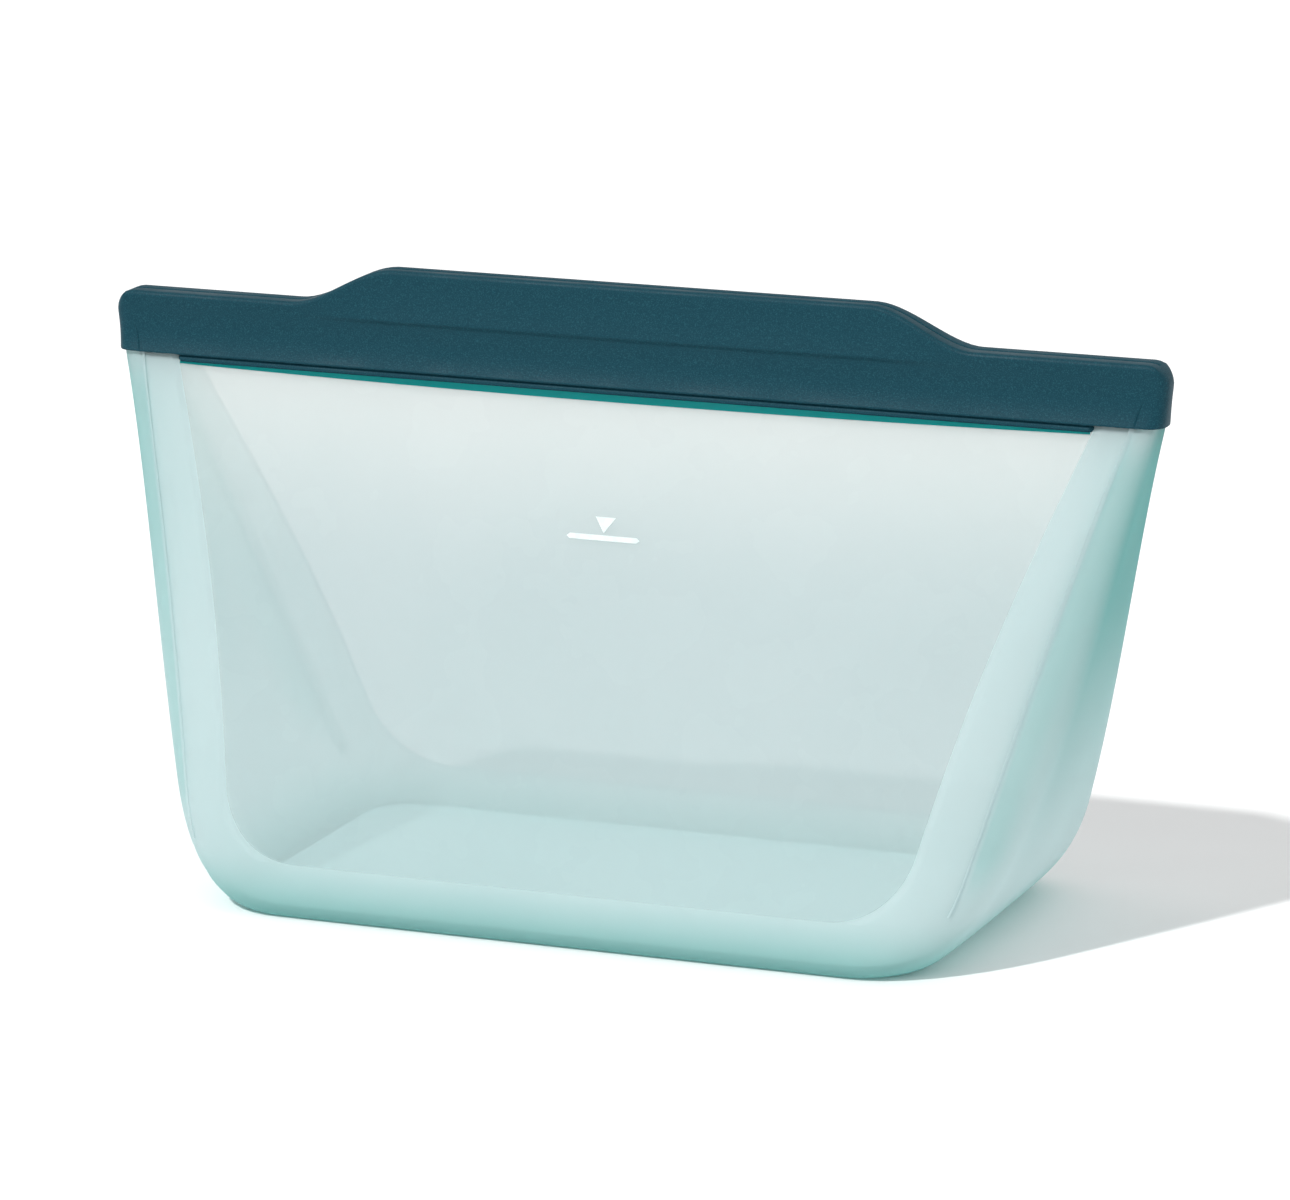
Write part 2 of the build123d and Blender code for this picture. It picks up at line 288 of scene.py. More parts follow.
def end_shade_and_thickness(points):
    """Painted shade, partly the deeper tone of silicone folded double: 0 on the walls, growing to 1 on the
    middle line of an end, and only well above the floor.
    """
    x, y, z = np.abs(points).T
    half = HINGE_Y - LEAN_Y * (z - HINGE_Z)
    to_middle = smooth((half - y) / (END_SHADE_REACH * half))
    return to_middle * smooth((z - END_SHADE_START) / (END_SHADE_END - END_SHADE_START)) * (x > END_FROM)


# ---- Mesh making ----

HARD_EDGE = radians(38)


def make_object(name, points, faces, materials, kinds):
    """A smooth-shaded closed mesh from points in millimetres, with its hard edges kept sharp."""
    mesh = bpy.data.meshes.new(name)
    mesh.from_pydata([tuple(point) for point in points * MM], [], [tuple(face) for face in faces])
    for material in materials:
        mesh.materials.append(material)
    mesh.polygons.foreach_set("material_index", kinds)
    mesh.polygons.foreach_set("use_smooth", [True] * len(mesh.polygons))
    work = bmesh.new()
    work.from_mesh(mesh)
    bmesh.ops.recalc_face_normals(work, faces=work.faces)
    for edge in work.edges:
        if edge.calc_face_angle(0) > HARD_EDGE:
            edge.smooth = False
    work.to_mesh(mesh)
    work.free()
    # both point attributes carry painted shade: along the folds, and up the middle of the ends
    for label, values in (("fold", fold_crease_shade(points)), ("end_shade_and_thickness", end_shade_and_thickness(points))):
        mesh.attributes.new(label, "FLOAT", "POINT").data.foreach_set("value", values)
    piece = bpy.data.objects.new(name, mesh)
    bpy.context.scene.collection.objects.link(piece)
    return piece


def mirrored(grid, x_sign, y_sign):
    """Points of the front right quarter, moved to another quarter."""
    return grid * np.array([x_sign, y_sign, 1.0])


def scaled(grid, axis, factor):
    """A grid of points with one coordinate multiplied by a factor that varies over the grid."""
    result = grid.copy()
    result[..., axis] *= factor
    return result


def slab(name, outer, inner, materials, x_sign=1, y_sign=1):
    """A closed slab between two grids of points, with materials for its outside, rim and inside."""
    rows, columns = outer.shape[:2]
    points = np.concatenate([outer.reshape(-1, 3), inner.reshape(-1, 3)])
    low = rows * columns
    faces, kinds = [], []
    for i in range(rows - 1):
        for j in range(columns - 1):
            first = i * columns + j
            quad = [first, first + 1, first + columns + 1, first + columns]
            faces.append(quad)
            faces.append([v + low for v in reversed(quad)])
            kinds += [0, 2]
    rim = [(0, j) for j in range(columns - 1)]
    rim += [(i, columns - 1) for i in range(rows - 1)]
    rim += [(rows - 1, j) for j in range(columns - 1, 0, -1)]
    rim += [(i, 0) for i in range(rows - 1, 0, -1)]
    for here, after in zip(rim, rim[1:] + rim[:1]):
        a = here[0] * columns + here[1]
        b = after[0] * columns + after[1]
        faces.append([b, a, a + low, b + low])
        kinds.append(1)
    return make_object(name, mirrored(points, x_sign, y_sign), faces, materials, kinds)


def loft(name, sections, material, x_sign=1, y_sign=1):
    """A closed solid through a row of closed sections, each with the same number of points."""
    sections = np.array(sections)
    count, around = sections.shape[:2]
    faces = []
    for i in range(count - 1):
        for j in range(around):
            k = (j + 1) % around
            faces.append([i * around + j, i * around + k, (i + 1) * around + k, (i + 1) * around + j])
    faces.append(list(range(around)))
    faces.append([(count - 1) * around + j for j in range(around)])
    points = mirrored(sections.reshape(-1, 3), x_sign, y_sign)
    return make_object(name, points, faces, [material], [0] * len(faces))


# ---- Shader parts ----


def new_material(name):
    material = bpy.data.materials.new(name)
    material.use_nodes = True
    nodes = material.node_tree.nodes
    nodes.clear()
    return material, nodes, material.node_tree.links


def ramp(nodes, links, source, low, high, from_value, to_value):
    """A number that goes smoothly from one value to another as source goes from low to high."""
    node = nodes.new("ShaderNodeMapRange")
    node.interpolation_type = "SMOOTHSTEP"
    node.inputs["From Min"].default_value = low
    node.inputs["From Max"].default_value = high
    node.inputs["To Min"].default_value = from_value
    node.inputs["To Max"].default_value = to_value
    links.new(source, node.inputs["Value"])
    return node.outputs[0]


def noise(nodes, links, place, scale, detail):
    node = nodes.new("ShaderNodeTexNoise")
    node.inputs["Scale"].default_value = scale
    node.inputs["Detail"].default_value = detail
    links.new(place, node.inputs["Vector"])
    return node.outputs["Fac"]


def uneven(nodes, links, place, scale, detail, low, high):
    """A number that wanders between low and high over the surface."""
    return ramp(nodes, links, noise(nodes, links, place, scale, detail), 0.3, 0.7, low, high)


def attribute(nodes, name):
    node = nodes.new("ShaderNodeAttribute")
    node.attribute_name = name
    return node.outputs["Fac"]


def blend_colours(nodes, links, factor, first, second):
    """The colour between first and second, each a colour or a colour output."""
    node = nodes.new("ShaderNodeMix")
    node.data_type = "RGBA"
    links.new(factor, node.inputs["Factor"])
    for socket, colour in ((node.inputs["A"], first), (node.inputs["B"], second)):
        if isinstance(colour, tuple):
            socket.default_value = (*colour, 1)
        else:
            links.new(colour, socket)
    return node.outputs["Result"]


def clouded(nodes, links, place, colour):
    """The colour with the faint cloudiness of moulded silicone."""
    cloud = blend_colours(nodes, links, uneven(nodes, links, place, 22, 2, 0, 1), CLOUD, (1, 1, 1))
    node = nodes.new("ShaderNodeMix")
    node.data_type = "RGBA"
    node.blend_type = "MULTIPLY"
    node.inputs["Factor"].default_value = 1
    links.new(colour, node.inputs["A"])
    links.new(cloud, node.inputs["B"])
    return node.outputs["Result"]


def grain(nodes, links, place, scale, strength):
    """A fine bumpy surface."""
    node = nodes.new("ShaderNodeBump")
    node.inputs["Strength"].default_value = strength
    node.inputs["Distance"].default_value = GRAIN_DEPTH * MM
    links.new(noise(nodes, links, place, scale, 2), node.inputs["Height"])
    return node.outputs[0]


def mix_shaders(nodes, links, first, second):
    """A mix of two shaders, with its factor left to be set."""
    node = nodes.new("ShaderNodeMixShader")
    links.new(first, node.inputs[1])
    links.new(second, node.inputs[2])
    return node


# ---- Materials ----

SILICONE_IOR = 1.41
GRAIN_DEPTH = 0.2
CLOUD = (0.97, 0.985, 0.985)
FOLD_SHADE_DEPTH = 0.4  # how much of the deep colour is painted into a fold as crease shade
GRAZING = (0.3, 0.95)  # tilts between which the see-through share falls
GRAZING_CLEAR = 0.15  # and what is left of it


def clear_seam():
    """What silicone looks like where two panels of one moulding meet: nothing."""
    material, nodes, links = new_material("seam")
    output = nodes.new("ShaderNodeOutputMaterial")
    through = nodes.new("ShaderNodeBsdfTransparent")
    links.new(through.outputs[0], output.inputs["Surface"])
    return material


def see_through(nodes, links, height, low, high, shares):
    """How much is seen through a wall: by height, and like glass less at a grazing angle."""
    tilt = nodes.new("ShaderNodeLayerWeight")
    tilt.inputs["Blend"].default_value = 0.5
    node = nodes.new("ShaderNodeMath")
    node.operation = "MULTIPLY"
    links.new(ramp(nodes, links, height, low, high, shares[0], shares[1]), node.inputs[0])
    links.new(ramp(nodes, links, tilt.outputs["Facing"], *GRAZING, 1, GRAZING_CLEAR), node.inputs[1])
    return node.outputs[0]


def silicone(name, pale, deep, levels, clear, roughness, milk=0.6, bump=0.05, middle=None):
    """Translucent silicone with a fine moulded frost.

    Between two levels its colour goes from deep to pale, as painted light and shade: deeper low down and
    paler high up. The share seen through it goes from one of clear to the other. Milk is the share of the
    rest that glows with light from behind, and middle the colour painted as shade up an end's middle line.
    """
    material, nodes, links = new_material(name)
    output = nodes.new("ShaderNodeOutputMaterial")
    place = nodes.new("ShaderNodeTexCoord").outputs["Object"]
    split = nodes.new("ShaderNodeSeparateXYZ")
    links.new(place, split.inputs[0])
    height = split.outputs["Z"]
    low, high = levels[0] * MM, levels[1] * MM
    # painted light and shade by height: deeper low down, paler high up
    colour = blend_colours(nodes, links, ramp(nodes, links, height, low, high, 0, 1), deep, pale)
    if middle:
        # painted shade up the middle of each end, partly the deeper tone of silicone folded double
        colour = blend_colours(nodes, links, attribute(nodes, "end_shade_and_thickness"), colour, middle)
    # painted crease shade along the folds
    crease_shade = ramp(nodes, links, attribute(nodes, "fold"), 0, 1, 0, FOLD_SHADE_DEPTH)
    colour = clouded(nodes, links, place, blend_colours(nodes, links, crease_shade, colour, deep))
    body = nodes.new("ShaderNodeBsdfPrincipled")
    body.inputs["IOR"].default_value = SILICONE_IOR
    links.new(colour, body.inputs["Base Color"])
    gloss = uneven(nodes, links, place, 60, 3, roughness - 0.05, roughness + 0.06)
    links.new(gloss, body.inputs["Roughness"])
    links.new(grain(nodes, links, place, 1800, bump), body.inputs["Normal"])
    glow = nodes.new("ShaderNodeBsdfTranslucent")
    links.new(colour, glow.inputs["Color"])
    milky = mix_shaders(nodes, links, body.outputs[0], glow.outputs[0])
    milky.inputs[0].default_value = milk
    through = nodes.new("ShaderNodeBsdfTransparent")
    whole = mix_shaders(nodes, links, milky.outputs[0], through.outputs[0])
    links.new(see_through(nodes, links, height, low, high, clear), whole.inputs[0])
    links.new(whole.outputs[0], output.inputs["Surface"])
    return material


def band_material(colour, speck):
    """Opaque dark silicone with a matte grain and tiny paler specks."""
    material, nodes, links = new_material("band_silicone")
    output = nodes.new("ShaderNodeOutputMaterial")
    place = nodes.new("ShaderNodeTexCoord").outputs["Object"]
    body = nodes.new("ShaderNodeBsdfPrincipled")
    body.inputs["Specular IOR Level"].default_value = 0.14
    specks = ramp(nodes, links, noise(nodes, links, place, 5200, 1), 0.45, 0.75, 0, 1)
    links.new(blend_colours(nodes, links, specks, colour, speck), body.inputs["Base Color"])
    links.new(uneven(nodes, links, place, 90, 3, 0.46, 0.6), body.inputs["Roughness"])
    links.new(grain(nodes, links, place, 2200, 0.25), body.inputs["Normal"])
    links.new(body.outputs[0], output.inputs["Surface"])
    return material


def print_material(colour, worn):
    """Pale print on the window."""
    material, nodes, links = new_material("mark_print")
    output = nodes.new("ShaderNodeOutputMaterial")
    place = nodes.new("ShaderNodeTexCoord").outputs["Object"]
    body = nodes.new("ShaderNodeBsdfPrincipled")
    body.inputs["Roughness"].default_value = 0.5
    wear = ramp(nodes, links, noise(nodes, links, place, 700, 3), 0.4, 0.6, 0, 1)
    links.new(blend_colours(nodes, links, wear, worn, colour), body.inputs["Base Color"])
    links.new(body.outputs[0], output.inputs["Surface"])
    return material


SEAM = clear_seam()
# the frosted skin's deeper teal low down is painted shade on the bag's rounded underside, and its middle
# colour is painted shade up the ends
FROSTED = silicone("frosted_silicone", pale=(0.70, 0.81, 0.82), deep=(0.26, 0.61, 0.58), levels=(-3, 12),
                   clear=(0.10, 0.17), roughness=0.45, middle=(0.19, 0.50, 0.48))
# a paler copy of the silicone for the inside faces: painted light for the glow inside the bag, with painted
# shade low down
INSIDE_PAINTED_LIGHT_AND_SHADE = silicone("inner_silicone_painted_light_and_shade", pale=(0.92, 0.95, 0.945), deep=(0.80, 0.91, 0.895), levels=(0, 16),
                  clear=(0.3, 0.4), roughness=0.45)
# a still paler, fully diffuse copy of the silicone for the floor inside the bag: painted light for its glow
FLOOR_PAINTED_LIGHT = silicone("floor_silicone_painted_light", pale=(0.77, 0.99, 0.98), deep=(0.77, 0.99, 0.98), levels=(0, 17),
                 clear=(0.04, 0.05), roughness=0.45, milk=0.0)
# the windows are paler towards their top and deeper low down: painted light and shade
CLEAR = silicone("clear_silicone", pale=(0.89, 0.91, 0.90), deep=(0.68, 0.76, 0.77), levels=(55, 100),
                 clear=(0.58, 0.58), roughness=0.26, bump=0.02)
BOND = silicone("bond_silicone", pale=(0.0, 0.40, 0.40), deep=(0.0, 0.40, 0.40), levels=(0, 1),
                clear=(0.1, 0.1), roughness=0.4, milk=0.7)
BAND = band_material(colour=(0.0030, 0.041, 0.061), speck=(0.012, 0.075, 0.10))
PRINT = print_material(colour=(0.74, 0.82, 0.82), worn=(0.66, 0.76, 0.76))


# ---- Panels of the skin ----

ROWS = 70


def crease_x(z):
    """Half length of the crease at height z."""
    return HINGE_X + CREASE.x / CREASE.z * (z - HINGE_Z)


def bend_x(z):
    """Half length at height z where the wall starts to bend."""
    return crease_x(z) - BEND_START


def find_crossing():
    """Height at which the window's edge crosses the line where the wall starts to bend."""
    low, high = HINGE_Z + 1, BAND_LOW
    for _ in range(50):
        middle = (low + high) / 2
        if window_half(middle) < bend_x(middle):
            low = middle
        else:
            high = middle
    return low


def row_heights():
    """Heights of the skin's rows, as a column: closest near the floor, and with one row at the crossing."""
    rows = HINGE_Z + (SKIN_TOP - HINGE_Z) * (1 - np.cos(np.linspace(0, pi / 2, ROWS)))
    rows = rows[np.abs(rows - CROSSING) > 0.3]
    return np.sort(np.append(rows, CROSSING))[:, None]


def across_crease():
    """Unit vector in the front wall, square to its right crease and pointing to the wing."""
    across = np.cross(np.array(CREASE), np.array([0, -1, LEAN_Y]) / sqrt(1 + LEAN_Y**2))
    across /= np.linalg.norm(across)
    return across if across[0] > 0 else -across


CROSSING = find_crossing()
HEIGHTS = row_heights()
ACROSS = across_crease()


def middle_half(z):
    """Half length of a window's middle panel: it ends where the wall starts to bend."""
    return np.minimum(bend_x(z), window_half(z))


def bend_on_crease(piece):
    """Keep a piece where it is, with its placement baked into its points."""
    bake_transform(piece)


def make_window_middle(wall, y_sign):
    share = np.linspace(-1, 1, 97)[None, :]
    s = share * middle_half(HEIGHTS)
    outer, inner = skin(np.abs(s), HEIGHTS + 0 * s)
    direction = np.where(s < 0, -1.0, 1.0)
    piece = slab(f"{wall}_window_pane", scaled(outer, 0, direction), scaled(inner, 0, direction),
                 [CLEAR, SEAM, CLEAR], y_sign=y_sign)
    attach(piece, f"{wall}_wall")
    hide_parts(f"{wall}_window")


def make_window_wing(wall, side, x_sign, y_sign):
    z = np.concatenate([[[CROSSING + 0.02]], HEIGHTS[HEIGHTS[:, 0] > CROSSING + 0.05]])
    low = middle_half(z)
    s = low + np.linspace(0, 1, 30)[None, :] * (window_half(z) - low)
    outer, inner = skin(s, z + 0 * s)
    piece = slab(f"{wall}_{side}_window_pane", outer, inner, [CLEAR, SEAM, CLEAR], x_sign, y_sign)
    bend_on_crease(piece)
    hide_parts(f"{wall}_{side}_window")


def make_frame(wall, side, x_sign, y_sign):
    """The frosted frame beside a window, from its edge to the fold."""
    low = window_half(HEIGHTS)
    s = low + np.linspace(0, 1, 54)[None, :] * (edge_length(HEIGHTS) - low)
    outer, inner = skin(s, HEIGHTS + 0 * s)
    piece = slab(f"{wall}_{side}_frame_skin", outer, inner, [FROSTED, SEAM, INSIDE_PAINTED_LIGHT_AND_SHADE], x_sign, y_sign)
    bend_on_crease(piece)
    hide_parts(f"{wall}_{side}_frame", f"{wall}_frame_feet")


def make_fold(wall, side, x_sign, y_sign):
    """Skin under a wing's edge, which closes the corner between wing and gusset while the bag opens."""
    z = HEIGHTS[HEIGHTS[:, 0] > HINGE_Z + FOLD_FOOT]
    outer, inner = skin(edge_length(z), z)
    inset = (inner - outer) * 0.05  # keeps it just under the frame's surfaces
    turns = np.linspace(0, FOLD_TURN, 12)
    outside = np.concatenate([turned(outer + inset, turn) for turn in turns], axis=1)
    inside = np.concatenate([turned(inner - inset, turn) for turn in turns], axis=1)
    piece = slab(f"{wall}_{side}_fold_skin", outside, inside, [FROSTED, SEAM, INSIDE_PAINTED_LIGHT_AND_SHADE], x_sign, y_sign)
    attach(piece, f"{side}_end")
    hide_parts(f"{side}_gusset")


def make_gusset(side, x_sign):
    share = np.linspace(-1, 1, 101)[None, :]
    whole, edge = quarter_length(HEIGHTS), edge_length(HEIGHTS)
    s = whole - np.abs(share) * (whole - edge)
    outer, inner = skin(s, HEIGHTS + 0 * s)
    direction = np.where(share < 0, 1.0, -1.0)
    piece = slab(f"{side}_gusset_skin", scaled(outer, 1, direction), scaled(inner, 1, direction),
                 [FROSTED, SEAM, INSIDE_PAINTED_LIGHT_AND_SHADE], x_sign)
    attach(piece, f"{side}_end")
    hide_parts(f"{side}_gusset")


def ring(z, count, layer):
    """One closed loop of the outer (layer 0) or inner (1) skin at height z, count points to a quarter."""
    loop = []
    share = np.linspace(0, 1, count + 1)
    for x_sign, y_sign in ((1, 1), (1, -1), (-1, -1), (-1, 1)):
        s = share * quarter_length(z)
        quarter = mirrored(skin(s, z + 0 * s)[layer], x_sign, y_sign)
        if x_sign * y_sign < 0:
            quarter = quarter[::-1]
        loop.append(quarter[:-1])
    return np.concatenate(loop)


def floor_loops(layer, levels, count):
    """Loops from the bending lines down to the floor and on to its middle."""
    loops = [ring(max(z, 0.02), count, layer) for z in levels]
    last = loops[-1]
    for shrink in (0.93, 0.85, 0.7, 0.5, 0.3, 0.12, 0.01):
        loop = scaled(last, slice(0, 2), shrink)
        loop[:, 2] += FLOOR_LIFT * (1 - shrink)
        loops.append(loop)
    return loops


def make_floor():
    count = 40
    around = 4 * count
    levels = [HINGE_Z * (1 - sin(t)) for t in np.linspace(0, pi / 2, 16)]
    flat = len(levels)  # the loops from here on close the bottom
    outer, inner = floor_loops(0, levels, count), floor_loops(1, levels, count)
    depth = len(outer)
    low = depth * around
    outside, rim, pan, inside = range(4)
    faces, kinds = [], []
    for i in range(depth - 1):
        for j in range(around):
            k = (j + 1) % around
            quad = [i * around + j, (i + 1) * around + j, (i + 1) * around + k, i * around + k]
            faces.append(quad)
            faces.append([v + low for v in reversed(quad)])
            kinds += [pan if i >= flat else outside, pan if i >= flat - 3 else inside]
    centre = [(depth - 1) * around + j for j in range(around)]
    faces += [centre, [v + low for v in reversed(centre)]]
    kinds += [pan, pan]
    for j in range(around):
        k = (j + 1) % around
        faces.append([j, k, k + low, j + low])
        kinds.append(rim)
    points = np.concatenate(outer + inner)
    # the pan's floor takes the paler copy of the silicone, painted light
    piece = make_object("floor_pan_skin", points, faces, [FROSTED, SEAM, FLOOR_PAINTED_LIGHT, INSIDE_PAINTED_LIGHT_AND_SHADE], kinds)
    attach(piece, "base")
    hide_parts("floor_pan")


# ---- Shape of the closure band ----

# outer face of a lip from the skirt up: heights, and how far it is from the bag's middle plane
SKIRT_Z, SKIRT_Y = 95.7, 4.5
WAIST_Z, WAIST_Y = 101.0, 3.2
SHOULDER_Y = 3.55
LEDGE_Z, LEDGE_Y = 104.6, 3.85  # above this ledge the tab's face draws in
LEDGE_RISE = 1.1
TAB_Y = 2.7
TAB_FLAT = 46.0  # half length of the tab at its full height
LIP_GAP = 0.2  # from the middle plane to a lip's inner face
MOUTH_Y = 1.0  # below MOUTH_Z the lips part, and are this far from the middle plane at the bottom
MOUTH_Z = 96.4
TOP_ROUND = 0.9
INNER_ROUND = 0.35
BEAD = 0.5  # radius of the bead under the band
BEAD_LOW = BAND_LOW - 0.4  # the bead's lower edge
BEAD_ROOT = 0.3  # how deep the bead sits in the wall
BEAD_OUT = 0.12  # how far its middle stands out from the wall
BEAD_BULGE = 0.42
BEAD_SINK = 1.0  # how much deeper it lies beyond the window
SKIRT_ROUND = 0.35
SKIRT_LOW = BEAD_LOW + 2 * BEAD + SKIRT_ROUND
TIP_ROUND = 4.0  # radius of the band's upper corners
TIP_LEAN = 0.095  # how the band's ends lean outwards
TIP_BEND = BAND_TOP - TIP_ROUND
BOND_DEPTH = 0.9  # how far the translucent edge shows below the bead at mid-length
BOND_HALF = 88.0
BOND_TOP = BEAD_LOW + 0.3
BOND_END_DEPTH = 0.6  # its whole depth at its ends
BOND_OUT = (0.16, 0.016)  # how far it stands out from the wall at its top and lower edge
BOND_ROOT = 0.08
RIB_LEVELS = {"lower": 98.4, "upper": 103.0}
RIB_HALF = 0.75
RIB_TIP = 1.7
RIB_ROOT = 0.5
GROOVE_PLAY = 0.25  # the grooves are larger than the ribs by this much all round


def tab_share(x):
    """1 where the pull tab has its full height, 0 beyond its feet."""
    return smooth((TAB_FOOT - np.abs(x)) / (TAB_FOOT - TAB_FLAT))


def band_tip(z):
    """How far the band's end reaches at height z."""
    reach = BLOCK_END - TIP_LEAN * (TIP_BEND - z)
    over = np.clip(z - TIP_BEND, 0, TIP_ROUND)
    return np.minimum(reach, BLOCK_END) - TIP_ROUND + np.sqrt(TIP_ROUND**2 - over**2)


def band_top(x):
    """Height of the band's upper edge at length x."""
    over = np.clip(np.abs(x) - (BLOCK_END - TIP_ROUND), 0, TIP_ROUND - 0.001)
    corner = TIP_ROUND - np.sqrt(TIP_ROUND**2 - over**2)
    return BAND_TOP - corner + (TAB_TOP - BAND_TOP) * tab_share(x)


def top_along(x_of):
    """Height of the band's upper edge on the line that is at a length x_of(z) along the bag."""
    top = BAND_TOP
    for _ in range(8):
        top = float(band_top(x_of(top)))
    return top


def part_x(z):
    """Where the lips' arms meet the end cap: along the line on which wing and gusset fold."""
    return EDGE_TOP_X + EDGE_LEAN * (z - EDGE_TOP_Z)


def lip_face(x, z):
    """Outer face of a lip: waisted, with a flared skirt, and a cove under the tab."""
    z = max(z, SKIRT_Z)
    up = np.clip((z - WAIST_Z) / (BAND_TOP - WAIST_Z), 0, 1)
    down = np.clip((WAIST_Z - z) / (WAIST_Z - SKIRT_Z), 0, 1)
    lip = WAIST_Y + (SHOULDER_Y - WAIST_Y) * up**2 + (SKIRT_Y - WAIST_Y) * down**2
    rise = np.clip((z - LEDGE_Z) / (TAB_TOP - LEDGE_Z), 0, 1)
    tab = TAB_Y + (LEDGE_Y - TAB_Y) * (1 - rise) ** 2
    share = tab_share(x) * smooth((z - LEDGE_Z + LEDGE_RISE) / LEDGE_RISE)
    return float(lip + (tab - lip) * share)


def bead_points(seat):
    """Bead over the top of the wall, from below outwards and up, as (y, z)."""
    centre = BEAD_LOW + BEAD
    points = [(seat - BEAD_ROOT, BEAD_LOW + 0.02)]
    for t in np.linspace(-pi / 2, pi / 2, 7):
        points.append((seat + BEAD_OUT + BEAD_BULGE * cos(t), centre + BEAD * sin(t)))
    points.append((seat + 0.05, centre + BEAD + 0.12))
    return points


def inner_points(grooved):
    """Inner face of a lip from the top down, with the two grooves of the back lip, as (y, z)."""
    points = []
    half, depth = RIB_HALF + GROOVE_PLAY, RIB_TIP + GROOVE_PLAY
    for level in reversed(RIB_LEVELS.values()):
        if grooved:
            for t in np.linspace(0, pi, 9):
                points.append((LIP_GAP + (depth - LIP_GAP) * sin(t) ** 0.6, level + half * cos(t)))
        else:
            for step in (1, 0, -1):
                points.append((LIP_GAP, level + step))
    return points + [(LIP_GAP, MOUTH_Z), (MOUTH_Y, BEAD_LOW)]


def lip_section(x_of, grooved):
    """Closed section of a lip as (x, y, z) points, at a length x_of(z) along the bag."""
    top = top_along(x_of)
    x_low = float(x_of(BAND_LOW))
    seat = float(wall_y(BEAD_LOW + BEAD))
    if abs(x_low) >= WINDOW_TOP_HALF:
        seat -= BEAD_SINK  # the frosted skin covers the bead here
    points = bead_points(seat)
    edge = lip_face(x_low, SKIRT_LOW + SKIRT_ROUND)
    points += [(edge - 0.3, SKIRT_LOW), (edge - 0.08, SKIRT_LOW + 0.08), (edge, SKIRT_LOW + SKIRT_ROUND)]
    knee = min(LEDGE_Z + 0.5, top - TOP_ROUND - 0.4)
    cove = LEDGE_Z - 1.2
    levels = np.concatenate([np.linspace(SKIRT_LOW + 0.8, cove, 14), np.linspace(cove, knee, 8)[1:],
                             np.linspace(knee, top - TOP_ROUND, 9)[1:]])
    points += [(lip_face(x_of(z), z), z) for z in levels]
    shoulder = points[-1][0]
    for t in np.linspace(0, pi / 2, 8)[1:]:
        points.append((shoulder - TOP_ROUND * (1 - cos(t)), top - TOP_ROUND * (1 - sin(t))))
    for t in np.linspace(0, pi / 2, 4):
        points.append((LIP_GAP + INNER_ROUND * (1 - sin(t)), top - INNER_ROUND * (1 - cos(t))))
    points += inner_points(grooved)
    points.append((seat - BEAD_ROOT, BEAD_LOW))
    return [(float(x_of(z)), -y, z) for y, z in points]


# ---- Pieces of the closure band ----


def make_lip_middle(wall, y_sign):
    sections = [lip_section(lambda z: share * bend_x(z), y_sign < 0) for share in np.linspace(-1, 1, 101)]
    piece = loft(f"{wall}_closure_middle", sections, BAND, y_sign=y_sign)
    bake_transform(piece)
    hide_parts(f"{wall}_lip", f"{wall}_pull_tab")


def make_lip_arm(wall, side, x_sign, y_sign):
    sections = [lip_section(lambda z: bend_x(z) + share * (part_x(z) - bend_x(z)), y_sign < 0)
                for share in np.linspace(0, 1, 40)]
    piece = loft(f"{wall}_{side}_closure_arm", sections, BAND, x_sign, y_sign)
    bend_on_crease(piece)
    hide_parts(f"{wall}_{side}_lip")


def make_knuckle(wall, side, x_sign, y_sign):
    """Solid inside a lip's arm that fills the corner between arm and end cap while the bag opens."""
    levels = np.linspace(SKIRT_LOW + 0.3, float(band_top(part_x(BAND_TOP))) - 0.5, 24)
    loop = [(0.3, z) for z in levels]
    for z in levels[::-1]:
        face = min(lip_face(part_x(z), z) - 0.15, float(edge_y(z)) - 0.02)
        loop.append((max(face, 0.35), z))
    face = np.array([(part_x(z) + 0.02, -y, z) for y, z in loop])
    sections = [turned(face, turn) for turn in np.linspace(0, FOLD_TURN, 12)]
    piece = loft(f"{wall}_{side}_closure_knuckle", sections, BAND, x_sign, y_sign)
    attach(piece, f"{side}_end")
    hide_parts(f"{side}_band_end")


def bond_sections(low, high, count):
    """Sections of the lips' translucent edge from one length to another: a thin tongue on the wall."""
    sections = []
    for x in np.linspace(low, high, count):
        drop = BOND_END_DEPTH + BOND_DEPTH * (1 - (x / BOND_HALF) ** 2)
        levels = BOND_TOP - drop * np.linspace(0, 1, 5)
        out = np.linspace(BOND_OUT[0], BOND_OUT[1], 5)
        outside = [(x, -(wall_y(z) + thick), z) for z, thick in zip(levels, out)]
        inside = [(x, -(wall_y(z) - BOND_ROOT), z) for z in levels[::-1]]
        sections.append(outside + inside)
    return sections


def make_bond(wall, y_sign):
    """The lips' thin translucent edge, which runs on down over the top of the wall."""
    half = float(bend_x(BAND_LOW))
    piece = loft(f"{wall}_closure_bond", bond_sections(-half, half, 61), BOND, y_sign=y_sign)
    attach(piece, f"{wall}_wall")
    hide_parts(f"{wall}_lip")
    for side, x_sign in SIDES:
        piece = loft(f"{wall}_{side}_closure_bond", bond_sections(half, BOND_HALF, 20), BOND, x_sign, y_sign)
        bend_on_crease(piece)
        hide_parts(f"{wall}_{side}_lip")


